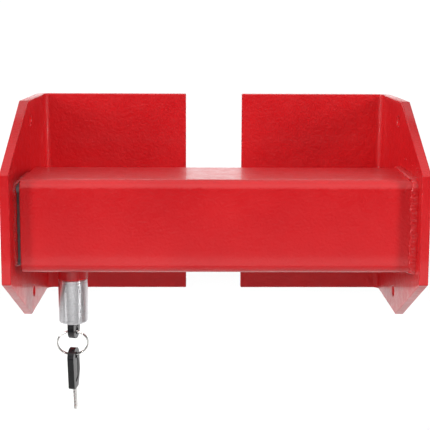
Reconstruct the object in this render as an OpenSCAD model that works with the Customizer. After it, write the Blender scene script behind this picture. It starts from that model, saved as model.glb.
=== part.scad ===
// Key-locked bar lock for the doors of a shipping container.
// Two bent steel brackets hook behind the doors' two vertical locking bars.
// The left bracket slides on a square inner tube inside the outer tube of the right one, and a
// key-turned bolt under the outer tube rises into one of a row of holes to fix the width.
// X runs from left to right, Y from the front to the door, Z up. The origin is midway between
// the two bar channels, at the tube's mid height.

/* [Brackets] */
// Clear width between the side plates when closed
inner_width = 340; // [330:5:400]
// Thickness of the bracket plate
plate_t = 8; // [6:1:10]
// Height of a bracket
plate_h = 200; // [190:5:220]
// Height of the narrow front edge of a side plate
nose_h = 93; // [90:1:120]
// Length of the flange that lies behind a locking bar, outside size
flange_len = 150; // [130:5:155]
// Inside radius of the bend between side plate and flange
bend_r = 6; // [4:1:10]
// Clear depth between the tube and the flange, where the bar goes
channel_d = 88; // [70:1:100]
// Diameter of the two holes in each side plate
plate_hole_d = 10; // [8:0.5:12]
// Distance between the two holes in a side plate
plate_hole_pitch = 162; // [150:1:166]

/* [Tubes] */
// Outside size of the square outer tube
outer_size = 80; // [80:1:90]
// Wall of the outer tube
outer_wall = 4; // [3:0.5:4]
// Outside corner radius of the outer tube
outer_r = 8; // [6:1:9]
// How far the tube lies behind the front edges of the side plates
tube_setback = 12; // [10:1:20]
// Gap between the closed outer tube and the left side plate
end_gap = 6; // [6:0.5:12]
// Wall of the inner tube
inner_wall = 5; // [4:0.5:5]
// Running gap between the tubes, each side
tube_gap = 1; // [0.8:0.1:1.2]
// Pitch of the lock holes in the inner tube
lock_pitch = 25; // [22:1:25]
// Number of lock holes
lock_count = 7; // [3:1:7]

/* [Lock] */
// Distance of the lock's axis to the left of the middle
lock_x = 126; // [110:1:130]
// Outside diameter of the welded collar
collar_d = 27; // [26.5:0.5:30]
// Height of the collar below the tube
collar_h = 14; // [14:0.5:16]
// Outside diameter of the lock barrel
barrel_d = 26; // [25.5:0.5:27]
// Length of the barrel below the collar
barrel_h = 40; // [40:1:46]
// Diameter of the locking bolt
bolt_d = 17; // [16.6:0.1:17]
// Lift of the locking bolt
bolt_lift = 7.5; // [7:0.1:7.5]

/* [Keys] */
// Width of a key head
head_w = 17; // [14:0.5:17]
// Length of a key head
head_len = 37.5; // [37.5:0.5:40]
// Thickness of a key head
head_t = 5.8; // [5.8:0.1:6.2]
// Length of a key blade
blade_len = 22.8; // [18:0.1:22.8]
// Turn of the keys about the vertical, away from edge-on
key_yaw = 11; // [0:1:30]
// Outside diameter of the key ring
ring_d = 28.6; // [27:0.1:32]
// Turn of the ring about the vertical, away from facing the front
ring_yaw = 5; // [0:1:8]
// Sideways swing of the ring in its own plane
ring_roll = 6; // [0:1:8]
// Lean of the key ring towards the door
ring_lean = 22; // [0:1:30]
// Lean of the spare key towards the door
spare_lean = 5; // [0:1:20]

/* [Hidden] */
$fn = 96;
eps = 0.05;             // running past a face in a cut
fit = 0.05;             // radial gap of a close fit
pitch_pi = 180;         // key turn in degrees that gives the full bolt lift
red = [0.80, 0.07, 0.09];
steel = [0.62, 0.62, 0.64];
silver = [0.82, 0.82, 0.85];
black = [0.06, 0.06, 0.07];
brass = [0.78, 0.62, 0.30];

// Places along Y, from the front edge of a side plate to the door
tube_back_y = -channel_d / 2;
tube_front_y = tube_back_y - outer_size;
tube_y = (tube_front_y + tube_back_y) / 2;
plate_front_y = tube_front_y - tube_setback;
flange_y = channel_d / 2;
door_y = flange_y + plate_t;
shoulder_y = tube_back_y - 1;
plate_hole_y = tube_back_y + 11;

// Places along X
side_x = inner_width / 2;
tube_left_x = -side_x + end_gap;

// Tubes
inner_size = outer_size - 2 * outer_wall - 2 * tube_gap;
inner_r = 7;
inner_len = inner_width - 10;
weld_leg = 7;           // weld's length along the tube
slider_weld_leg = 5;
weld_rise = 2.6;        // weld's height on the plate

// Heights of the lock, all below the tube's axis
tube_low_z = -outer_size / 2;
inner_low_z = -inner_size / 2;
collar_low_z = tube_low_z - collar_h;
barrel_low_z = collar_low_z - barrel_h;
spigot_h = 6;           // barrel spigot inside the collar
bolt_top_z = inner_low_z - 1.5;
bolt_low_z = bolt_top_z - 19;
bolt_cavity_d = 13;
bolt_cap_t = 5.5;       // solid nose above the bolt's cavity
stud_z = bolt_top_z - 8.5;
stud_d = 2.5;
core_d = 12.4;
core_top_z = bolt_top_z - bolt_cap_t - 0.7;
shoulder_z = bolt_low_z - 1.5;   // floor of the barrel's upper counterbore
key_face_z = barrel_low_z + 22;  // where the key head stops, deep inside the barrel
recess_d = 19;
core_flange_d = 15;
core_flange_h = 1.5;
cavity_d = 9.8;         // disc cavity in the core
disc_d = 9.6;
disc_t = 1.5;
spacer_t = 0.35;
disc_count = 9;
plug_t = 2.2;           // front anti-drill plate
keyway = [5.6, 2.5];
blade = [5, 1.9];
sidebar_d = 1.8;
sidebar_r = 5.1;        // radius at which the sidebar lies
guide_z = bolt_top_z - 7.5;
screw_d = 4;
grub_z = collar_low_z + 3;

// Keys and ring
hole_d = 6.2;           // ring hole in a key head
hole_end = 6.8;         // from the rounded end of a head to its hole
wire_d = 1.3;
ring_r = (ring_d - wire_d) / 2;
coil_gap = 0.66;        // half the distance between the ring's two turns
hang = 0.6;             // how far the ring's wire lies off the middle of a hole
key_end_z = key_face_z - head_len;
ring_pivot_z = key_end_z + hole_end - hang;

// ---- shapes that repeat ----

// Rectangle with round corners, centred, made of exact arcs
module round_rect(w, h, r) {
    square([w - 2 * r, h], center = true);
    square([w, h - 2 * r], center = true);
    for (sx = [-1, 1], sy = [-1, 1])
        translate([sx * (w / 2 - r), sy * (h / 2 - r)]) circle(r);
}

// Square tube along X, from x0 to x1
module square_tube(size, wall, r, x0, x1) {
    translate([x0, tube_y, 0])
        rotate([90, 0, 90])
            linear_extrude(x1 - x0)
                difference() {
                    round_rect(size, size, r);
                    round_rect(size - 2 * wall, size - 2 * wall, max(r - wall, 0.5));
                }
}

// Fillet weld round a square tube, tapering along +X from the plate at x0
module tube_weld(size, r, leg, x0) {
    grow = 2 * weld_rise;
    translate([x0, tube_y, 0])
        rotate([90, 0, 90])
            difference() {
                linear_extrude(leg, scale = (size + 1) / (size + grow))
                    round_rect(size + grow, size + grow, r + weld_rise, $fn = 32);
                translate([0, 0, -eps])
                    linear_extrude(leg + 2 * eps) round_rect(size + 0.2, size + 0.2, r + 0.1);
            }
}

// Everything of the lock is turned about this vertical axis
module at_lock(z = 0) {
    translate([-lock_x, tube_y, z]) children();
}

// Upright cylinder from z0 up to z1 on the lock's axis
module post(d, z0, z1) {
    at_lock(z0) cylinder(d = d, h = z1 - z0);
}

// Radial rod from r0 to r1 at height z, pointing along azimuth a
module radial(d, r0, r1, z, a) {
    at_lock(z) rotate([0, 0, a]) translate([r0, 0, 0]) rotate([0, 90, 0]) cylinder(d = d, h = r1 - r0);
}

// ---- brackets ----

// Plan of the right bracket: side plate, bend and flange
module bracket_plan() {
    bend_y = flange_y - bend_r;
    bend_x = side_x - bend_r;
    translate([side_x, plate_front_y]) square([plate_t, bend_y - plate_front_y]);
    translate([side_x + plate_t - flange_len, flange_y])
        square([bend_x - side_x - plate_t + flange_len, plate_t]);
    translate([bend_x, bend_y])
        intersection() {
            difference() {
                circle(bend_r + plate_t);
                circle(bend_r);
            }
            square(bend_r + plate_t + 1);
        }
}

// Side view of a bracket, drawn in Y and Z: the front corners are cut to a narrow nose
module bracket_side() {
    polygon([
        [plate_front_y, -nose_h / 2], [shoulder_y, -plate_h / 2],
        [door_y + 1, -plate_h / 2], [door_y + 1, plate_h / 2],
        [shoulder_y, plate_h / 2], [plate_front_y, nose_h / 2]]);
}

module bracket() {
    difference() {
        intersection() {
            translate([0, 0, -plate_h / 2]) linear_extrude(plate_h) bracket_plan();
            rotate([90, 0, 90]) linear_extrude(side_x + 2 * plate_t) bracket_side();
        }
        for (s = [-1, 1])
            translate([side_x - eps, plate_hole_y, s * plate_hole_pitch / 2])
                rotate([0, 90, 0]) cylinder(d = plate_hole_d, h = plate_t + 2 * eps);
    }
}

module housing_bracket() { color(red) bracket(); }

module slider_bracket() { color(red) mirror([1, 0, 0]) bracket(); }

// ---- tubes and welds ----

module outer_tube() {
    color(red)
        difference() {
            square_tube(outer_size, outer_wall, outer_r, tube_left_x, side_x);
            post(22 + 2 * fit, tube_low_z - 1, tube_low_z + outer_wall + 1);
        }
}

module housing_weld() {
    color(red) mirror([1, 0, 0]) tube_weld(outer_size, outer_r, weld_leg, -side_x);
}

// The row of lock holes is in the bottom wall
module inner_tube() {
    color(steel)
        difference() {
            square_tube(inner_size, inner_wall, inner_r, -side_x, -side_x + inner_len);
            for (i = [0 : lock_count - 1])
                translate([i * lock_pitch, 0, 0]) post(18, inner_low_z - 1, inner_low_z + inner_wall + 1);
        }
}

module slider_weld() {
    color(red) tube_weld(inner_size, inner_r, slider_weld_leg, -side_x);
}

// ---- lock body ----

module lock_collar() {
    color(red)
        difference() {
            union() {
                post(collar_d, collar_low_z, tube_low_z);
                post(22, tube_low_z - eps, tube_low_z + outer_wall);
            }
            post(bolt_d + 0.2, collar_low_z - 1, tube_low_z + outer_wall + 1);
            post(22 + 2 * fit, collar_low_z - 1, collar_low_z + spigot_h);
            radial(screw_d, 7, collar_d, guide_z, 90);
            radial(screw_d, 7, collar_d, grub_z, 90);
        }
}

// Small fillet between collar and tube
module collar_weld() {
    leg = 1;
    color(red)
        at_lock(tube_low_z)
            rotate_extrude()
                polygon([[collar_d / 2, 0], [collar_d / 2 + leg, 0], [collar_d / 2, -leg]]);
}

// Bright outer shell of the lock: it screws into the collar and shrouds the key head
module lock_barrel() {
    edge = 0.9;
    lip = 2;
    r = barrel_d / 2;
    color(silver)
        difference() {
            at_lock(0)
                rotate_extrude()
                    union() {
                        polygon([
                            [0, barrel_low_z], [r - lip, barrel_low_z], [r - lip, barrel_low_z + lip],
                            [r, barrel_low_z + lip], [r, collar_low_z - edge], [r - edge, collar_low_z],
                            [11, collar_low_z], [11, collar_low_z + spigot_h - 0.1],
                            [0, collar_low_z + spigot_h - 0.1]]);
                        intersection() {
                            translate([r - lip, barrel_low_z + lip]) circle(lip);
                            translate([r - lip, barrel_low_z]) square(lip);
                        }
                    }
            post(bolt_d + 0.3, shoulder_z, collar_low_z + spigot_h + 1);
            post(core_d + 0.2, key_face_z - 1, shoulder_z + 1);
            post(core_flange_d + 0.2, key_face_z - 1, key_face_z + core_flange_h + 0.1);
            post(recess_d, barrel_low_z - 1, key_face_z);
            sidebar_groove();
        }
}

// Groove in the barrel's bore that the sidebar enters when the lock is shut
module sidebar_groove() {
    at_lock(key_face_z + core_flange_h + 0.1)
        rotate([0, 0, 90]) translate([core_d / 2, 0, 0])
            cylinder(d = 2, h = shoulder_z - key_face_z - core_flange_h + 1);
}

module barrel_grub_screw() {
    color(steel)
        difference() {
            radial(screw_d - 2 * fit, 11.05, collar_d / 2 - 0.3, grub_z, 90);
            at_lock(grub_z) rotate([0, 0, 90]) translate([collar_d / 2 - 1.5, 0, 0])
                rotate([0, 90, 0]) cylinder(d = 2.2, h = 3, $fn = 6);
        }
}

// Its tip runs in the bolt's groove and keeps the bolt from turning
module bolt_guide_screw() {
    color(steel)
        difference() {
            union() {
                radial(screw_d - 2 * fit, 9, collar_d / 2 - 0.3, guide_z, 90);
                radial(2.8, 7.5, 9.1, guide_z, 90);
            }
            at_lock(guide_z) rotate([0, 0, 90]) translate([collar_d / 2 - 2, 0, 0])
                rotate([0, 90, 0]) cylinder(d = 2.2, h = 3, $fn = 6);
        }
}

// Hollow bolt that slides over the top of the core; the drive stud lifts it by a helical slot
module locking_bolt() {
    chamfer = 1.8;
    steps = 18;
    r = bolt_d / 2;
    color(steel)
        difference() {
            at_lock(0)
                rotate_extrude()
                    polygon([
                        [0, bolt_top_z], [r - chamfer, bolt_top_z], [r, bolt_top_z - chamfer],
                        [r, bolt_low_z], [bolt_cavity_d / 2, bolt_low_z],
                        [bolt_cavity_d / 2, bolt_top_z - bolt_cap_t], [0, bolt_top_z - bolt_cap_t]]);
            for (i = [0 : steps])
                radial(stud_d + 0.5, 5, r + 1, stud_z - bolt_lift * i / steps, 180 + pitch_pi * i / steps);
            at_lock(guide_z - bolt_lift - 1.7)
                translate([-1.6, 7.3, 0]) cube([3.2, 3, bolt_lift + 3.4]);
        }
}

// ---- lock core ----

module lock_core() {
    clip_z = shoulder_z;
    color(brass)
        difference() {
            union() {
                post(core_d, key_face_z, core_top_z);
                post(core_flange_d, key_face_z, key_face_z + core_flange_h);
            }
            post(cavity_d, key_face_z - 1, stack_top_z() + 0.3);
            key_slot(key_face_z, blade_len + 0.4);
            difference() {
                post(core_d + 2, clip_z, clip_z + 1);
                post(11.4, clip_z - 1, clip_z + 2);
            }
            at_lock(stack_low_z()) translate([-1, 4, 0]) cube([2, 4, shoulder_z - stack_low_z() - 1]);
            radial(stud_d + 2 * fit, 3, core_d, stud_z, 180);
        }
}

function stack_low_z() = key_face_z + plug_t + 0.1;
function stack_step() = disc_t + spacer_t + 0.02;
function stack_top_z() = stack_low_z() + disc_count * stack_step();

module key_slot(z0, h) {
    at_lock(z0) rotate([0, 0, 90 - key_yaw]) translate([-keyway[0] / 2, -keyway[1] / 2, 0])
        cube([keyway[0], keyway[1], h]);
}

// Hardened front plate with the keyway
module anti_drill_plate() {
    color(steel)
        difference() {
            post(disc_d, key_face_z + 0.1, key_face_z + plug_t);
            key_slot(key_face_z - 1, plug_t + 2);
        }
}

module detainer_discs() {
    color(brass)
        for (i = [0 : disc_count - 1])
            let (z = stack_low_z() + i * stack_step())
                difference() {
                    post(disc_d, z, z + disc_t);
                    key_slot(z - 1, disc_t + 2);
                    at_lock(z - 1) translate([0, sidebar_r, 0]) cylinder(d = 2.3, h = disc_t + 2);
                }
}

module disc_spacers() {
    color(steel)
        for (i = [0 : disc_count - 2])
            let (z = stack_low_z() + i * stack_step() + disc_t + 0.01)
                difference() {
                    post(disc_d, z, z + spacer_t);
                    key_slot(z - 1, 3);
                    at_lock(z - 1) translate([0, sidebar_r, 0]) cylinder(d = 2.3, h = 3);
                }
}

// Rod that drops into the discs' notches and frees the core
module sidebar() {
    color(steel)
        at_lock(stack_low_z() + 0.3) translate([0, sidebar_r, 0])
            cylinder(d = sidebar_d, h = shoulder_z - stack_low_z() - 1.8);
}

module core_circlip() {
    color(steel)
        difference() {
            post(14.8, shoulder_z + 0.1, shoulder_z + 0.9);
            post(11.6, shoulder_z - 1, shoulder_z + 2);
            at_lock(shoulder_z - 1) translate([0, -2, 0]) cube([10, 4, 3]);
        }
}

module drive_stud() { color(steel) radial(stud_d, 3.2, 8.2, stud_z, 180); }

// ---- keys ----

// Outline of a key head: the round end is at v = 0, the blade end at v = -head_len
module head_outline() {
    r = head_w / 2;
    corner = 2.5;
    translate([0, -r]) circle(r);
    polygon([
        [-r, -r], [-r, -head_len + corner], [-r + corner, -head_len], [2.5, -head_len],
        [r, -head_len + 13], [r, -r]]);
    translate([-r + corner, -head_len + corner]) circle(corner);
}

// Head standing on its round end, drawn in its own upright plane with the ring hole at the origin
module head_solid() {
    translate([0, head_t / 2, 0])
        rotate([90, 0, 0])
            linear_extrude(head_t)
                difference() {
                    translate([0, -hole_end]) rotate(180) head_outline();
                    circle(d = hole_d);
                }
}

// Flat blade with a chamfered tip and five cuts along one edge, rising from z = 0
module blade_solid() {
    cuts = 5;
    tip = 1.6;
    translate([0, blade[1] / 2, 0])
        rotate([90, 0, 0])
            linear_extrude(blade[1])
                difference() {
                    polygon([
                        [-blade[0] / 2, 0], [blade[0] / 2, 0],
                        [blade[0] / 2, blade_len - tip], [blade[0] / 2 - tip, blade_len],
                        [-blade[0] / 2 + tip, blade_len], [-blade[0] / 2, blade_len - tip]]);
                    for (i = [0 : cuts - 1])
                        translate([blade[0] / 2 + 0.35, 4 + i * 3.4]) circle(1 + 0.12 * (i % 3), $fn = 24);
                }
}

// Local Z up the key, with the ring hole at the origin and the head's face along local Y
module key_in_lock() {
    at_lock(key_end_z + hole_end) rotate([0, 0, 90 - key_yaw]) children();
}

// At the ring's centre, with local Z up in the ring's plane
module at_ring() {
    at_lock(ring_pivot_z)
        rotate([0, 0, 90 + ring_yaw])
            rotate([0, -ring_lean, 0])
                translate([0, ring_r * sin(ring_roll), -ring_r * cos(ring_roll)])
                    children();
}

// Spare key: upside down, hung from the ring's lowest wire
module spare_key() {
    at_ring()
        translate([0, 0, -ring_r])
            rotate([0, ring_lean, 0])
                rotate([0, 0, -key_yaw - ring_yaw])
                    rotate([0, -spare_lean, 0])
                        translate([0, 0, -hang])
                            rotate([0, 180, 0]) children();
}

module blade_on_head() { translate([0, 0, head_len - hole_end]) blade_solid(); }

module key_head() { color(black) key_in_lock() head_solid(); }

module key_blade() { color(silver) key_in_lock() blade_on_head(); }

module spare_key_head() { color(black) spare_key() head_solid(); }

module spare_key_blade() { color(silver) spare_key() blade_on_head(); }

// Split ring: two turns of wire side by side
module key_ring() {
    color(silver)
        at_ring()
            rotate([0, 90, 0])
                for (s = [-1, 1])
                    translate([0, 0, s * coil_gap])
                        rotate_extrude() translate([ring_r, 0]) circle(d = wire_d, $fn = 32);
}

housing_bracket();
outer_tube();
housing_weld();
lock_collar();
collar_weld();
slider_bracket();
inner_tube();
slider_weld();
lock_barrel();
barrel_grub_screw();
bolt_guide_screw();
locking_bolt();
lock_core();
anti_drill_plate();
detainer_discs();
disc_spacers();
sidebar();
core_circlip();
drive_stud();
key_blade();
key_head();
key_ring();
spare_key_blade();
spare_key_head();
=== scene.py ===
import math

import bmesh
import bpy
from mathutils import Matrix, Vector, noise

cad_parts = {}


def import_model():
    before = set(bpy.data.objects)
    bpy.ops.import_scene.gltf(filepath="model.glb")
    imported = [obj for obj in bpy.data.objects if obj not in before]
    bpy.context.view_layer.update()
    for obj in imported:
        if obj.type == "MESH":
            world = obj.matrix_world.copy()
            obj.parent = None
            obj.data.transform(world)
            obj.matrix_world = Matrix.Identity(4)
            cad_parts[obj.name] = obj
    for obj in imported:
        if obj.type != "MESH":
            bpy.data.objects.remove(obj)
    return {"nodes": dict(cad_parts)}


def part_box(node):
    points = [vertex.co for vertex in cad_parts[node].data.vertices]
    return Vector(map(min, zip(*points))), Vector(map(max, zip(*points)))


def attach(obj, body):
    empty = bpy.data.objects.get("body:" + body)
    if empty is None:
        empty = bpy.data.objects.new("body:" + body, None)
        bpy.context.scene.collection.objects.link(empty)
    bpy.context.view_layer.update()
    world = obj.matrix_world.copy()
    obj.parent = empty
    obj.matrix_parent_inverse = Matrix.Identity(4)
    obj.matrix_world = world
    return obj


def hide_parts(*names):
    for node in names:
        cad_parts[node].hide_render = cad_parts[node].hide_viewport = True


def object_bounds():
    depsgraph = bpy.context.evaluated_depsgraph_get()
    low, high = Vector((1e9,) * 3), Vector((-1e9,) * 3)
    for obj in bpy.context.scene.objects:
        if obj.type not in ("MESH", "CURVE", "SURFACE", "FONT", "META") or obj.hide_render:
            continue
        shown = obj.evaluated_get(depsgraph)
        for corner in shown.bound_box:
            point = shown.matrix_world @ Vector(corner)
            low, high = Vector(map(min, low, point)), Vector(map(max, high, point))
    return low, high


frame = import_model()
cad_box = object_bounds()
MM = 0.001


# ---------------------------------------------------------------- materials

def node_tools(mat):
    tree = mat.node_tree
    tree.nodes.clear()

    def add(kind, **settings):
        node = tree.nodes.new(kind)
        for key, value in settings.items():
            if key in node.inputs:
                node.inputs[key].default_value = value
            else:
                setattr(node, key, value)
        return node

    def link(a, out, b, into):
        tree.links.new(a.outputs[out], b.inputs[into])

    return add, link


def ramp(node, stops):
    elements = node.color_ramp.elements
    while len(elements) < len(stops):
        elements.new(0.5)
    for element, (place, colour) in zip(elements, stops):
        element.position = place
        element.color = (*colour, 1)
    return node


def grey(value):
    return (value, value, value)


def powder_coat():
    """Thick red powder coat: orange peel, slow colour drift and a glossy top."""
    mat = bpy.data.materials.new("red_powder_coat")
    mat.use_nodes = True
    add, link = node_tools(mat)
    coords = add("ShaderNodeTexCoord")
    drift = add("ShaderNodeTexNoise", Scale=14.0, Detail=3.0)
    peel = add("ShaderNodeTexNoise", Scale=420.0, Detail=2.5, Roughness=0.5)
    wave = add("ShaderNodeTexNoise", Scale=110.0, Detail=2.0)
    dust = add("ShaderNodeTexNoise", Scale=2200.0, Detail=2.0)
    for tex in (drift, peel, wave, dust):
        link(coords, "Object", tex, "Vector")
    tint = ramp(add("ShaderNodeValToRGB"), [(0.3, RED_DEEP), (0.7, RED_LIGHT)])
    link(drift, "Fac", tint, "Fac")
    gloss = ramp(add("ShaderNodeValToRGB"), [(0.3, grey(0.30)), (0.7, grey(0.40))])
    link(wave, "Fac", gloss, "Fac")
    big = add("ShaderNodeBump", Strength=0.25, Distance=0.001)
    link(wave, "Fac", big, "Height")
    mid = add("ShaderNodeBump", Strength=0.8, Distance=0.0006)
    link(peel, "Fac", mid, "Height")
    link(big, "Normal", mid, "Normal")
    fine = add("ShaderNodeBump", Strength=0.05, Distance=0.0001)
    link(dust, "Fac", fine, "Height")
    link(mid, "Normal", fine, "Normal")
    shader = add("ShaderNodeBsdfPrincipled")
    shader.inputs["IOR"].default_value = 1.45
    shader.inputs["Coat Weight"].default_value = 0.3
    shader.inputs["Coat Roughness"].default_value = 0.08
    out = add("ShaderNodeOutputMaterial")
    link(tint, "Color", shader, "Base Color")
    link(gloss, "Color", shader, "Roughness")
    link(fine, "Normal", shader, "Normal")
    link(shader, "BSDF", out, "Surface")
    return mat


def metal(name, dark, light, rough, stretch, scale, bump=0.12, anisotropy=0.0, mottle=18.0):
    """Metal with fine lines that run along the axes where stretch is small, and slower mottling."""
    mat = bpy.data.materials.new(name)
    mat.use_nodes = True
    add, link = node_tools(mat)
    coords = add("ShaderNodeTexCoord")
    place = add("ShaderNodeMapping")
    place.inputs["Scale"].default_value = stretch
    lines = add("ShaderNodeTexNoise", Scale=scale, Detail=3.0, Roughness=0.6)
    spots = add("ShaderNodeTexNoise", Scale=mottle, Detail=4.0)
    link(coords, "Object", place, "Vector")
    link(place, "Vector", lines, "Vector")
    link(coords, "Object", spots, "Vector")
    tint = ramp(add("ShaderNodeValToRGB"), [(0.3, dark), (0.7, light)])
    link(spots, "Fac", tint, "Fac")
    gloss = ramp(add("ShaderNodeValToRGB"), [(0.25, grey(0.8 * rough)), (0.75, grey(1.25 * rough))])
    link(lines, "Fac", gloss, "Fac")
    relief = add("ShaderNodeBump", Strength=bump, Distance=0.0001)
    link(lines, "Fac", relief, "Height")
    shader = add("ShaderNodeBsdfPrincipled")
    shader.inputs["Metallic"].default_value = 1.0
    shader.inputs["Anisotropic"].default_value = anisotropy
    shader.inputs["Anisotropic Rotation"].default_value = 0.25 if anisotropy else 0.0
    out = add("ShaderNodeOutputMaterial")
    link(tint, "Color", shader, "Base Color")
    link(gloss, "Color", shader, "Roughness")
    link(relief, "Normal", shader, "Normal")
    link(shader, "BSDF", out, "Surface")
    return mat


def moulded_plastic():
    """Black glossy moulded plastic with a little flow texture and fine handling marks."""
    mat = bpy.data.materials.new("black_key_plastic")
    mat.use_nodes = True
    add, link = node_tools(mat)
    coords = add("ShaderNodeTexCoord")
    flow = add("ShaderNodeTexNoise", Scale=140.0, Detail=2.0)
    grain = add("ShaderNodeTexNoise", Scale=2600.0, Detail=2.0)
    for tex in (flow, grain):
        link(coords, "Object", tex, "Vector")
    tint = ramp(add("ShaderNodeValToRGB"), [(0.3, PLASTIC_DEEP), (0.7, PLASTIC_LIGHT)])
    link(flow, "Fac", tint, "Fac")
    gloss = ramp(add("ShaderNodeValToRGB"), [(0.3, grey(0.16)), (0.7, grey(0.27))])
    link(flow, "Fac", gloss, "Fac")
    relief = add("ShaderNodeBump", Strength=0.08, Distance=0.0001)
    link(grain, "Fac", relief, "Height")
    shader = add("ShaderNodeBsdfPrincipled")
    shader.inputs["IOR"].default_value = 1.52
    out = add("ShaderNodeOutputMaterial")
    link(tint, "Color", shader, "Base Color")
    link(gloss, "Color", shader, "Roughness")
    link(relief, "Normal", shader, "Normal")
    link(shader, "BSDF", out, "Surface")
    return mat


RED_DEEP = (0.58, 0.006, 0.010)
RED_LIGHT = (0.66, 0.010, 0.014)
PLASTIC_DEEP = (0.008, 0.008, 0.009)
PLASTIC_LIGHT = (0.016, 0.015, 0.017)
ALONG_X = (0.05, 1, 1)
ROUND_Z = (0.05, 0.05, 1)
RED = powder_coat()
OILED = metal("oiled_dark_steel", (0.115, 0.115, 0.12), (0.15, 0.15, 0.155), 0.40, ALONG_X, 900, mottle=90.0)
BARREL = metal("satin_turned_metal", (0.77, 0.77, 0.79), (0.84, 0.84, 0.86), 0.30, (0.02, 0.02, 1), 4200,
               bump=0.10, anisotropy=0.75)
DARK = metal("black_oxide_steel", (0.035, 0.035, 0.038), (0.06, 0.06, 0.062), 0.38, (1, 1, 1), 900)
BOLT = metal("ground_steel", (0.50, 0.50, 0.52), (0.62, 0.62, 0.64), 0.25, ROUND_Z, 3500)
BRASS = metal("turned_brass", (0.62, 0.42, 0.16), (0.74, 0.53, 0.22), 0.28, ROUND_Z, 3500)
NICKEL = metal("nickel_plate", (0.62, 0.60, 0.58), (0.74, 0.72, 0.70), 0.22, (1, 1, 0.04), 3200, bump=0.08)
PLASTIC = moulded_plastic()

CAD_MATERIALS = {
    "barrel_grub_screw": DARK, "bolt_guide_screw": DARK, "core_circlip": DARK,
    "locking_bolt": BOLT, "anti_drill_plate": BOLT, "disc_spacers": BOLT, "sidebar": BOLT,
    "drive_stud": BOLT,
    "lock_core": BRASS, "detainer_discs": BRASS,
}


# ---------------------------------------------------------------- mesh helpers

def is_sharp(edge, angle):
    """Whether two faces meet at the edge at more than the angle, in degrees."""
    return len(edge.link_faces) == 2 and edge.calc_face_angle(0) > math.radians(angle)


def finish_mesh(name, bm, mat, body, nodes, smooth=40.0):
    """Makes the piece from bm, smooth except at edges sharper than the given angle."""
    bmesh.ops.recalc_face_normals(bm, faces=bm.faces)
    for face in bm.faces:
        face.smooth = True
    for edge in bm.edges:
        edge.smooth = not is_sharp(edge, smooth)
    mesh = bpy.data.meshes.new(name)
    bm.to_mesh(mesh)
    bm.free()
    obj = bpy.data.objects.new(name, mesh)
    bpy.context.collection.objects.link(obj)
    mesh.materials.append(mat)
    weighted = obj.modifiers.new("weighted", "WEIGHTED_NORMAL")
    weighted.keep_sharp = True
    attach(obj, body)
    if nodes:
        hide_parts(*nodes)


def along_axis(axis, a, b, h):
    """Point at height h along the axis, with a and b on the other two axes in order."""
    return {"X": (h, a, b), "Y": (a, h, b), "Z": (a, b, h)}[axis]


def extrude(outline, low, high, axis):
    """Prism over a closed outline, which lies across the axis."""
    bm = bmesh.new()
    bottom = [bm.verts.new(along_axis(axis, a, b, low)) for a, b in outline]
    top = [bm.verts.new(along_axis(axis, a, b, high)) for a, b in outline]
    bm.faces.new(bottom)
    bm.faces.new(top)
    count = len(outline)
    for i in range(count):
        j = (i + 1) % count
        bm.faces.new((bottom[i], bottom[j], top[j], top[i]))
    bmesh.ops.recalc_face_normals(bm, faces=bm.faces)
    return bm


def rod(start, direction, radius, length, sides):
    """Cylinder from start along direction."""
    bm = bmesh.new()
    bmesh.ops.create_cone(bm, cap_ends=True, segments=sides, radius1=radius, radius2=radius, depth=length)
    turn = Vector(direction).to_track_quat("Z", "Y").to_matrix().to_4x4()
    shift = Matrix.Translation(Vector(start) + Vector(direction).normalized() * length / 2)
    bmesh.ops.transform(bm, matrix=shift @ turn, verts=bm.verts)
    return bm


def cut(bm, cutters):
    """bm with the cutters taken away, made with exact booleans on short-lived objects."""
    def temporary(source):
        mesh = bpy.data.meshes.new("temporary")
        source.to_mesh(mesh)
        source.free()
        obj = bpy.data.objects.new("temporary", mesh)
        bpy.context.collection.objects.link(obj)
        return obj

    body = temporary(bm)
    tools = [temporary(c) for c in cutters]
    for tool in tools:
        mod = body.modifiers.new("cut", "BOOLEAN")
        mod.operation = "DIFFERENCE"
        mod.solver = "EXACT"
        mod.object = tool
    made = body.evaluated_get(bpy.context.evaluated_depsgraph_get())
    result = bmesh.new()
    result.from_mesh(made.to_mesh())
    for obj in [body] + tools:
        mesh = obj.data
        bpy.data.objects.remove(obj)
        bpy.data.meshes.remove(mesh)
    bmesh.ops.remove_doubles(result, verts=result.verts, dist=2e-7)
    bmesh.ops.dissolve_limit(result, angle_limit=math.radians(0.3), verts=result.verts,
                             edges=result.edges)
    return result


def soften(bm, width, segments=3, angle=35.0):
    """Rounds every edge that is sharper than angle."""
    sharp = [edge for edge in bm.edges if is_sharp(edge, angle)]
    bmesh.ops.bevel(bm, geom=sharp, offset=width, segments=segments, profile=0.5, affect="EDGES",
                    clamp_overlap=True)


def arc(cx, cy, radius, start, end, steps):
    """Points on a circle from the start angle to the end angle, in degrees."""
    return [(cx + radius * math.cos(math.radians(start + (end - start) * i / steps)),
             cy + radius * math.sin(math.radians(start + (end - start) * i / steps)))
            for i in range(steps + 1)]


def rounded_square(half, radius, cy, steps):
    """Outline of a square tube's section, in Y and Z, anticlockwise."""
    inner = half - radius
    points = []
    for sy, sz, start in ((1, 1, 0), (-1, 1, 90), (-1, -1, 180), (1, -1, 270)):
        points += arc(cy + sy * inner, sz * inner, radius, start, start + 90, steps)
    return points


def join_rings(bm, one, two):
    """Faces between two closed rings with as many points each."""
    count = len(one)
    for k in range(count):
        m = (k + 1) % count
        bm.faces.new((one[k], two[k], two[m], one[m]))


def lathe(profile, centre, steps):
    """Closed profile of (radius, z) turned about the upright axis at centre. Radius 0 isn't used."""
    bm = bmesh.new()
    rings = []
    for i in range(steps):
        a = 2 * math.pi * i / steps
        rings.append([bm.verts.new((centre[0] + r * math.cos(a), centre[1] + r * math.sin(a), z))
                      for r, z in profile])
    for i in range(steps):
        join_rings(bm, rings[i], rings[(i + 1) % steps])
    return bm


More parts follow.
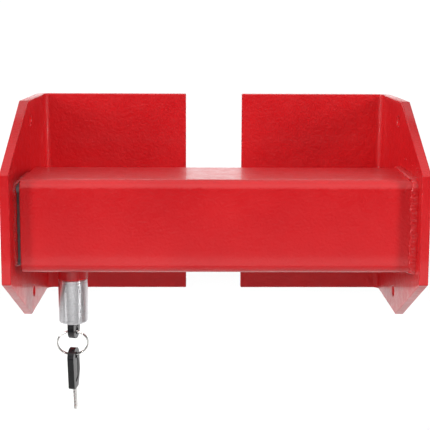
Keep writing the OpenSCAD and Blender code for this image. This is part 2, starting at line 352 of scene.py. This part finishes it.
# ---------------------------------------------------------------- sizes from the frame

plate_lo, plate_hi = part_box("housing_bracket")
tube_lo, tube_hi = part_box("outer_tube")
inner_lo, inner_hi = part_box("inner_tube")
collar_lo, collar_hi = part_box("lock_collar")
barrel_lo, barrel_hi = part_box("lock_barrel")
PLATE_T = 8 * MM
HOLE_R, HOLE_Z = 5 * MM, 81 * MM
BEND_IN, BEND_OUT = 6 * MM, 14 * MM
OUT_X = plate_hi.x
IN_X = OUT_X - PLATE_T
FRONT_Y = plate_lo.y
DOOR_Y = plate_hi.y
FLANGE_Y = DOOR_Y - PLATE_T
HALF_H = plate_hi.z
NOSE = 46.5 * MM
SHOULDER_Y = tube_hi.y - 1 * MM
HOLE_Y = tube_hi.y + 11 * MM
TUBE_Y = (tube_lo.y + tube_hi.y) / 2
TUBE_HALF = (tube_hi.y - tube_lo.y) / 2
TUBE_R, TUBE_WALL = 8 * MM, 4 * MM
INNER_HALF = (inner_hi.y - inner_lo.y) / 2
INNER_R, INNER_WALL = 7 * MM, 5 * MM
BARREL_R, COLLAR_R = 13 * MM, 13.5 * MM
NECK_R, SOCKET_R = 11 * MM, 11.05 * MM
LOCK_HOLES, LOCK_STEP = 7, 25 * MM
LOCK = Vector(((barrel_lo.x + barrel_hi.x) / 2, (barrel_lo.y + barrel_hi.y) / 2))


# ---------------------------------------------------------------- brackets

def bracket(name, side, body, node):
    """Bent plate with chamfered front corners, two holes and edges softened by the coat."""
    cx, cy = IN_X - BEND_IN, FLANGE_Y - BEND_IN
    end_x = plate_lo.x
    outline = [(IN_X, FRONT_Y), (OUT_X, FRONT_Y)]
    outline += arc(cx, cy, BEND_OUT, 0, 90, 20)
    outline += [(end_x, DOOR_Y), (end_x, FLANGE_Y)]
    outline += arc(cx, cy, BEND_IN, 90, 0, 20)
    bm = extrude([(side * x, y) for x, y in outline], -HALF_H, HALF_H, "Z")
    for s in (-1, 1):
        slope = Vector((0, SHOULDER_Y - FRONT_Y, s * (HALF_H - NOSE)))
        normal = Vector((0, -slope.z, slope.y)) * s
        geom = bm.verts[:] + bm.edges[:] + bm.faces[:]
        got = bmesh.ops.bisect_plane(bm, geom=geom, dist=1e-7, plane_co=(0, FRONT_Y, s * NOSE),
                                     plane_no=normal, clear_outer=True)
        rim = [e for e in got["geom_cut"] if isinstance(e, bmesh.types.BMEdge)]
        bmesh.ops.contextual_create(bm, geom=rim)
    holes = [rod((side * (IN_X - 5 * MM), HOLE_Y, s * HOLE_Z), (side, 0, 0), HOLE_R, PLATE_T + 10 * MM, 48)
             for s in (-1, 1)]
    bm = cut(bm, holes)
    soften(bm, 1.0 * MM)
    finish_mesh(name, bm, RED, body, [node])


bracket("bracket_right", 1, "housing", "housing_bracket")
bracket("bracket_left", -1, "slider", "slider_bracket")


# ---------------------------------------------------------------- tubes

def tube(name, x0, x1, half, radius, wall, mat, body, node, holes, edge):
    """Square tube from x0 to x1 with round corners, holes and softened ends."""
    outer = extrude(rounded_square(half, radius, TUBE_Y, 14), x0, x1, "X")
    bore = extrude(rounded_square(half - wall, radius - wall, TUBE_Y, 8), x0 - MM, x1 + MM, "X")
    bm = cut(outer, [bore] + holes)
    soften(bm, edge, 3, 50.0)
    finish_mesh(name, bm, mat, body, [node])


collar_hole = rod((LOCK.x, LOCK.y, -TUBE_HALF - 2 * MM), (0, 0, 1), SOCKET_R, 8 * MM, 96)
tube("tube_outer", tube_lo.x, tube_hi.x, TUBE_HALF, TUBE_R, TUBE_WALL, RED, "housing",
     "outer_tube", [collar_hole], 0.8 * MM)
lock_holes = [rod((LOCK.x + LOCK_STEP * i, LOCK.y, -INNER_HALF - 2 * MM), (0, 0, 1), 9 * MM, 9 * MM, 64)
              for i in range(LOCK_HOLES)]
tube("tube_inner", inner_lo.x, inner_hi.x, INNER_HALF, INNER_R, INNER_WALL, OILED, "slider",
     "inner_tube", lock_holes, 0.5 * MM)


# ---------------------------------------------------------------- weld beads

def path_on_square(half, radius, part):
    """Point, outward normal and length, at a part of the way round a rounded square in Y and Z."""
    flat = 2 * (half - radius)
    bend = math.pi / 2 * radius
    total = 4 * (flat + bend)
    s = (total * part + flat / 2) % total
    turn = 0.0
    centre = half - radius
    while s > flat + bend:
        s -= flat + bend
        turn -= math.pi / 2
    if s <= flat:
        y, z, ny, nz = -half, -centre + s, -1.0, 0.0
    else:
        a = (s - flat) / radius
        ny, nz = -math.cos(a), math.sin(a)
        y, z = -centre + radius * ny, centre + radius * nz
    c, d = math.cos(turn), math.sin(turn)
    return y * c - z * d, y * d + z * c, ny * c - nz * d, ny * d + nz * c, total * part


RIPPLE = 2.9 * MM


def weld(name, plate_x, toward, half, radius, leg, grow, body, node, seed):
    """Hand-laid fillet bead: uneven legs, ripples and a few lumps, kept inside the weld's own box."""
    bm = bmesh.new()
    rows, across = 900, 12
    rings = []
    for i in range(rows):
        y, z, ny, nz, s = path_on_square(half, radius, i / rows)
        q = Vector((y, z, seed)) / (9 * MM)
        slow = noise.noise(q)
        fast = noise.noise(q * 3.1 + Vector((7, 3, seed)))
        corner = 2 * abs(ny * nz)
        lumps = 0.10 + 0.9 * corner
        a = leg * min(1.0, 0.90 + 0.10 * slow + 0.12 * fast - 0.25 * corner)
        b = grow * min(1.0, 0.66 + 0.20 * noise.noise(q * 1.3 + Vector((1, 9, 4))) + 0.10 * fast)
        ring = []
        for k in range(across + 1):
            f = math.pi / 2 * k / across
            ripple = math.sin(2 * math.pi * (s / RIPPLE + 0.5 * math.sin(2 * f) + 0.35 * slow))
            grain = noise.noise(Vector((y, z, k * 0.4 * MM)) / (1.6 * MM) + Vector((seed, 2, 5)))
            bulge = math.sin(2 * f) * (0.10 * ripple + lumps * (0.5 * grain + 0.35 * slow)) * MM
            along = a * math.cos(f) ** 1.1 + bulge * 0.6
            out = b * math.sin(f) ** 0.8 + bulge * 0.6
            along = min(max(along, -0.1 * MM), leg)
            out = min(max(out, -0.1 * MM), grow)
            ring.append(bm.verts.new((plate_x + toward * along, TUBE_Y + y + ny * out, z + nz * out)))
        ring.append(bm.verts.new((plate_x, TUBE_Y + y - ny * 0.3 * MM, z - nz * 0.3 * MM)))
        rings.append(ring)
    for i in range(rows):
        join_rings(bm, rings[i], rings[(i + 1) % rows])
    finish_mesh(name, bm, RED, body, [node], 60.0)


weld("bead_right", IN_X, -1, TUBE_HALF, TUBE_R, 7 * MM, 2.6 * MM, "housing", "housing_weld", 3.0)
weld("bead_left", -IN_X, 1, INNER_HALF, INNER_R, 3.2 * MM, 2.0 * MM, "slider", "slider_weld", 11.0)


def spatter(name, places, body):
    """Small droplets of weld spatter under the coat, at places with a radius each, all in mm."""
    bm = bmesh.new()
    for x, y, z, r in places:
        made = bmesh.ops.create_icosphere(bm, subdivisions=3, radius=r * MM)
        for v in made["verts"]:
            lump = 1 + 0.25 * noise.noise(v.co / (r * MM) * 0.9 + Vector((x, y, z)))
            v.co = v.co * lump + Vector((x, y, z)) * MM
    finish_mesh(name, bm, RED, body, [])


spatter("spatter_right", [
    (169.8, -117, 49.5, 0.9), (169.9, -112, 52.5, 0.6), (163.0, -118, 39.9, 0.8),
    (159.5, -110, 40.0, 0.6), (169.8, -121, 47.3, 0.7), (156.0, -104, 39.9, 0.5),
    (169.8, -99, 49.0, 0.6), (169.8, -70, 50.5, 0.8), (162.0, -123.8, 22, 0.5),
    (161.2, -123.8, -9, 0.4), (169.8, -128, -20, 0.5)], "housing")


# ---------------------------------------------------------------- lock body

def lock_collar():
    """Red collar with a neck in the tube, a socket for the barrel and two screw holes at the back."""
    top, low = -TUBE_HALF, collar_lo.z
    r, bore = COLLAR_R, 8.6 * MM
    step = low + 6 * MM
    profile = [(bore, collar_hi.z - 0.3 * MM), (bore, step), (SOCKET_R, step), (SOCKET_R, low + 0.3 * MM),
               (SOCKET_R + 0.3 * MM, low)]
    profile += [(r - 0.7 * MM + x, low + 0.7 * MM + y) for x, y in arc(0, 0, 0.7 * MM, -90, 0, 5)]
    profile += [(r, top - 1.0 * MM), (r + 0.25 * MM, top - 0.5 * MM), (r + 0.75 * MM, top), (NECK_R, top),
                (NECK_R, collar_hi.z), (bore + 0.3 * MM, collar_hi.z)]
    bm = lathe(profile, LOCK, 144)
    low_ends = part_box("bolt_guide_screw")[0].z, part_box("barrel_grub_screw")[0].z
    screws = [rod((LOCK.x, LOCK.y + 7 * MM, z + 1.95 * MM), (0, 1, 0), 2 * MM, 10 * MM, 32)
              for z in low_ends]
    bm = cut(bm, screws)
    finish_mesh("collar", bm, RED, "housing", ["lock_collar", "collar_weld"], 30.0)


def lock_barrel():
    """Turned barrel, open at the bottom, with a rolled lip and a fine groove near its top."""
    low, top = barrel_lo.z, collar_lo.z
    r, lip = BARREL_R, 2 * MM
    face = low + 22 * MM
    profile = [(9.5 * MM, face - 1.5 * MM), (9.5 * MM, low + 0.6 * MM), (10.1 * MM, low)]
    profile += [(r - lip + x, low + lip + y) for x, y in arc(0, 0, lip, -90, 0, 10)]
    profile += [(r, top - 3.3 * MM), (r - 0.18 * MM, top - 3.1 * MM), (r - 0.18 * MM, top - 2.9 * MM),
                (r, top - 2.7 * MM), (r, top - 1.0 * MM), (r - 0.25 * MM, top - 0.55 * MM),
                (r - 0.9 * MM, top), (NECK_R, top), (NECK_R, barrel_hi.z), (8.65 * MM, barrel_hi.z),
                (8.65 * MM, -59 * MM), (6.3 * MM, -59 * MM), (6.3 * MM, face + 1.6 * MM),
                (7.6 * MM, face + 1.6 * MM), (7.6 * MM, face), (9.5 * MM, face)]
    bm = lathe(profile, LOCK, 160)
    finish_mesh("barrel", bm, BARREL, "housing", ["lock_barrel"], 20.0)


lock_collar()
lock_barrel()


# ---------------------------------------------------------------- keys and ring

YAW, SPARE_LEAN = math.radians(11), math.radians(5)
RING_YAW, RING_LEAN, RING_ROLL = math.radians(5), math.radians(22), math.radians(6)
HEAD_LEN, HEAD_R, HEAD_T = 37.5 * MM, 8.5 * MM, 5.8 * MM
HOLE_END, EYE_R, HANG = 6.8 * MM, 3.1 * MM, 0.6 * MM
RING_R, WIRE_R, COIL = 13.65 * MM, 0.65 * MM, 0.66 * MM
EYE_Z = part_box("key_head")[0].z + HOLE_END


def turned(y=0.0, z=0.0):
    return Matrix.Rotation(z, 4, "Z") @ Matrix.Rotation(y, 4, "Y")


# Places of the key in the lock, the ring and the spare key. Each has the key's eye or the ring's centre at 0.
IN_LOCK = Matrix.Translation((LOCK.x, LOCK.y, EYE_Z)) @ turned(z=math.pi / 2 - YAW)
AT_RING = (Matrix.Translation((LOCK.x, LOCK.y, EYE_Z - HANG)) @ turned(z=math.pi / 2 + RING_YAW)
           @ turned(y=-RING_LEAN)
           @ Matrix.Translation((0, RING_R * math.sin(RING_ROLL), -RING_R * math.cos(RING_ROLL))))
SPARE = (AT_RING @ Matrix.Translation((0, 0, -RING_R)) @ turned(y=RING_LEAN) @ turned(z=-YAW - RING_YAW)
         @ turned(y=-SPARE_LEAN) @ Matrix.Translation((0, 0, -HANG)) @ turned(y=math.pi))


def head_outline():
    """Key head in its own plane with the ring's eye at the origin: round end down, blade end up."""
    top, corner = HEAD_LEN - HOLE_END, 2.5 * MM
    points = arc(0, HEAD_R - HOLE_END, HEAD_R, 180, 360, 36)
    points += [(HEAD_R, top - corner)]
    points += arc(HEAD_R - corner, top - corner, corner, 0, 90, 6)[1:]
    points += [(-corner, top), (-HEAD_R, top - 13 * MM)]
    return points


def key_head(name, place, body, node):
    """Moulded head with an eye, soft edges and a shallow grip panel on each face."""
    bm = extrude(head_outline(), -HEAD_T / 2, HEAD_T / 2, "Y")
    grip = arc(0, 8.2 * MM, 5.2 * MM, 200, 340, 16)
    grip += arc(2.6 * MM, 22.5 * MM, 2.2 * MM, 0, 90, 6) + arc(-1.4 * MM, 20.5 * MM, 2.2 * MM, 90, 160, 6)
    cutters = [rod((0, -5 * MM, 0), (0, 1, 0), EYE_R, 10 * MM, 56)]
    cutters += [extrude(grip, s * (HEAD_T / 2 - 0.45 * MM), s * (HEAD_T / 2 + 2 * MM), "Y") for s in (-1, 1)]
    bm = cut(bm, cutters)
    soften(bm, 0.55 * MM, 3, 40.0)
    bmesh.ops.transform(bm, matrix=place, verts=bm.verts)
    finish_mesh(name, bm, PLASTIC, body, [node])


def key_blade(name, place, body, node):
    """Flat nickel blade with a milled flute on each face, a pointed tip and cuts along one edge."""
    w, t, length, tip = 2.5 * MM, 0.95 * MM, 22.8 * MM, 1.6 * MM
    outside = 0.35 * MM
    outline = [(-w, 0), (w, 0)]
    for i in range(5):
        depth = (1.0 + 0.12 * (i % 3)) * MM
        centre = (4 + i * 3.4) * MM
        half = math.sqrt(depth ** 2 - outside ** 2)
        start = math.degrees(math.atan2(-half, -outside))
        outline += arc(w + outside, centre, depth, start, -360 - start, 8)
    outline += [(w, length - tip), (w - tip, length), (-w + tip, length), (-w, length - tip)]
    bm = extrude(outline, -t, t, "Y")
    flutes = [rod((-0.9 * MM, s * 1.25 * MM, 1 * MM), (0, 0, 1), 0.6 * MM, 19 * MM, 20) for s in (-1, 1)]
    bm = cut(bm, flutes)
    soften(bm, 0.12 * MM, 2, 40.0)
    shift = Matrix.Translation((0, 0, HEAD_LEN - HOLE_END))
    bmesh.ops.transform(bm, matrix=place @ shift, verts=bm.verts)
    finish_mesh(name, bm, NICKEL, body, [node])


def split_ring():
    """Two turns of wire side by side that cross over in a short stretch, with blunt rounded ends."""
    bm = bmesh.new()
    turns, steps, sides = 1.985, 330, 16
    rings = []
    for i in range(steps + 1):
        part = i / steps
        a = 2 * math.pi * (turns * part + 0.29)
        cross = min(max((part - 0.5) * turns * 2 * math.pi / 0.8 + 0.5, 0.0), 1.0)
        offset = COIL * (2 * cross * cross * (3 - 2 * cross) - 1)
        edge = min(i, steps - i)
        radius = WIRE_R * (0.55 if edge == 0 else 0.9 if edge == 1 else 1.0)
        ring = []
        for k in range(sides):
            b = 2 * math.pi * k / sides
            reach = RING_R + radius * math.cos(b)
            ring.append(bm.verts.new((offset + radius * 0.98 * math.sin(b), reach * math.cos(a),
                                      reach * math.sin(a))))
        rings.append(ring)
    for one, two in zip(rings, rings[1:]):
        join_rings(bm, one, two)
    bm.faces.new(rings[0])
    bm.faces.new(rings[-1])
    bmesh.ops.transform(bm, matrix=AT_RING, verts=bm.verts)
    finish_mesh("split_ring", bm, NICKEL, "ring", ["key_ring"], 50.0)


key_head("lock_key_head", IN_LOCK, "key", "key_head")
key_blade("lock_key_blade", IN_LOCK, "key", "key_blade")
key_head("spare_head", SPARE, "spare_key", "spare_key_head")
key_blade("spare_blade", SPARE, "spare_key", "spare_key_blade")
split_ring()

for node_name, mat in CAD_MATERIALS.items():
    for material_slot in frame["nodes"][node_name].material_slots:
        material_slot.material = mat


# ---------------------------------------------------------------- stage

FLOOR_HALF, FLOOR_Y, FLOOR_DROP = 2.15, 0.75, 0.30
FADE_FROM, FADE_TO = 0.9, 2.1


def floor():
    """Pale sheet below the part. Its rim fades into the backdrop."""
    mat = bpy.data.materials.new("pale_floor")
    mat.use_nodes = True
    add, link = node_tools(mat)
    coords = add("ShaderNodeTexCoord")
    cloud = add("ShaderNodeTexNoise", Scale=3.0, Detail=2.0)
    link(coords, "Object", cloud, "Vector")
    tint = ramp(add("ShaderNodeValToRGB"), [(0.3, grey(0.88)), (0.7, grey(0.90))])
    link(cloud, "Fac", tint, "Fac")
    shader = add("ShaderNodeBsdfPrincipled", Roughness=0.8)
    length = add("ShaderNodeVectorMath", operation="LENGTH")
    link(coords, "Object", length, 0)
    fade = add("ShaderNodeMapRange", interpolation_type="SMOOTHSTEP")
    fade.inputs["From Min"].default_value = FADE_FROM
    fade.inputs["From Max"].default_value = FADE_TO
    link(length, "Value", fade, "Value")
    mix = add("ShaderNodeMixShader")
    clear = add("ShaderNodeBsdfTransparent")
    out = add("ShaderNodeOutputMaterial")
    link(tint, "Color", shader, "Base Color")
    link(fade, "Result", mix, 0)
    link(shader, "BSDF", mix, 1)
    link(clear, "BSDF", mix, 2)
    link(mix, "Shader", out, "Surface")
    bm = bmesh.new()
    bmesh.ops.create_grid(bm, x_segments=1, y_segments=1, size=FLOOR_HALF)
    mesh = bpy.data.meshes.new("floor")
    bm.to_mesh(mesh)
    bm.free()
    mesh.materials.append(mat)
    obj = bpy.data.objects.new("floor", mesh)
    obj.location = (0, FLOOR_Y, cad_box[0].z - FLOOR_DROP)
    bpy.context.collection.objects.link(obj)


def area_light(name, place, target, width, height, power, spread):
    """Soft rectangular light at place that faces target, unseen by the camera."""
    data = bpy.data.lights.new(name, "AREA")
    data.shape = "RECTANGLE"
    data.size = width
    data.size_y = height
    data.energy = power
    data.spread = math.radians(spread)
    obj = bpy.data.objects.new(name, data)
    obj.location = place
    obj.rotation_mode = "QUATERNION"
    obj.rotation_quaternion = (Vector(target) - Vector(place)).to_track_quat("-Z", "Y")
    obj.visible_camera = False
    bpy.context.collection.objects.link(obj)


# Where the backdrop lights the part from: axis, where the light starts and is full, and its strength.
BACKDROP = (("Y", 0.74, 0.93, 1.65), ("Z", 0.60, 0.95, 0.90))
BACKDROP_WHITE = 1.05


def world():
    """White backdrop to look at. It lights the part from behind and from right above only."""
    made = bpy.data.worlds.new("studio")
    made.use_nodes = True
    tree = made.node_tree
    tree.nodes.clear()
    coords = tree.nodes.new("ShaderNodeTexCoord")
    split = tree.nodes.new("ShaderNodeSeparateXYZ")
    tree.links.new(coords.outputs["Generated"], split.inputs["Vector"])
    both = tree.nodes.new("ShaderNodeMath")
    for place, (axis, low, high, strength) in enumerate(BACKDROP):
        fade = tree.nodes.new("ShaderNodeMapRange")
        fade.interpolation_type = "SMOOTHSTEP"
        fade.inputs["From Min"].default_value = low
        fade.inputs["From Max"].default_value = high
        fade.inputs["To Max"].default_value = strength
        tree.links.new(split.outputs[axis], fade.inputs["Value"])
        tree.links.new(fade.outputs["Result"], both.inputs[place])
    path = tree.nodes.new("ShaderNodeLightPath")
    pick = tree.nodes.new("ShaderNodeMix")
    pick.inputs["B"].default_value = BACKDROP_WHITE
    back = tree.nodes.new("ShaderNodeBackground")
    back.inputs["Color"].default_value = (1, 1, 1, 1)
    out = tree.nodes.new("ShaderNodeOutputWorld")
    tree.links.new(path.outputs["Is Camera Ray"], pick.inputs["Factor"])
    tree.links.new(both.outputs["Value"], pick.inputs["A"])
    tree.links.new(pick.outputs["Result"], back.inputs["Strength"])
    tree.links.new(back.outputs["Background"], out.inputs["Surface"])
    bpy.context.scene.world = made
    bpy.context.scene.view_settings.view_transform = "Standard"


FOCAL, SENSOR = 78.179, 36
SHIFT = -0.16
CAMERA_PLACE = (-9.97 * MM, FRONT_Y - 756.7 * MM, 170.4 * MM)
LOOK_DOWN, LOOK_RIGHT, ROLL = 0.131, 0.012, 0.004


def camera():
    """Looks slightly down from above the tube, with the frame shifted down to the lock."""
    data = bpy.data.cameras.new("camera")
    data.sensor_width = SENSOR
    data.lens = FOCAL
    data.shift_y = SHIFT
    obj = bpy.data.objects.new("camera", data)
    turn = (Matrix.Rotation(-LOOK_RIGHT, 4, "Z") @ Matrix.Rotation(math.pi / 2 - LOOK_DOWN, 4, "X")
            @ Matrix.Rotation(ROLL, 4, "Z"))
    obj.matrix_world = Matrix.Translation(CAMERA_PLACE) @ turn
    bpy.context.collection.objects.link(obj)
    bpy.context.scene.camera = obj


PART = (0, -0.05, 0)
# Each light's name, place, target, width, height, power in watts and spread in degrees.
LIGHTS = (
    ("left", (-1.30, -0.95, 0.50), PART, 0.22, 0.9, 1.7, 60),
    ("right", (1.30, -0.95, 0.50), PART, 0.22, 0.9, 2.1, 60),
    ("key", (0.0, -1.5, 1.0), PART, 2.2, 1.7, 4.4, 100),
    ("bounce", (-0.10, -0.41, -0.13), (-0.10, 0.0, -0.08), 0.9, 0.06, 0.145, 120),
    ("side", (-1.8, -0.1, 0.35), PART, 0.9, 0.9, 4.3, 100),
    ("floor_near", (0.0, 0.80, -0.05), (0, 0.80, -0.5), 3.0, 0.7, 3.7, 110),
    ("floor_far", (0.0, 2.0, 0.52), (0, 2.0, -0.5), 3.6, 1.9, 14.3, 100),
)

floor()
world()
camera()
for light in LIGHTS:
    area_light(*light)
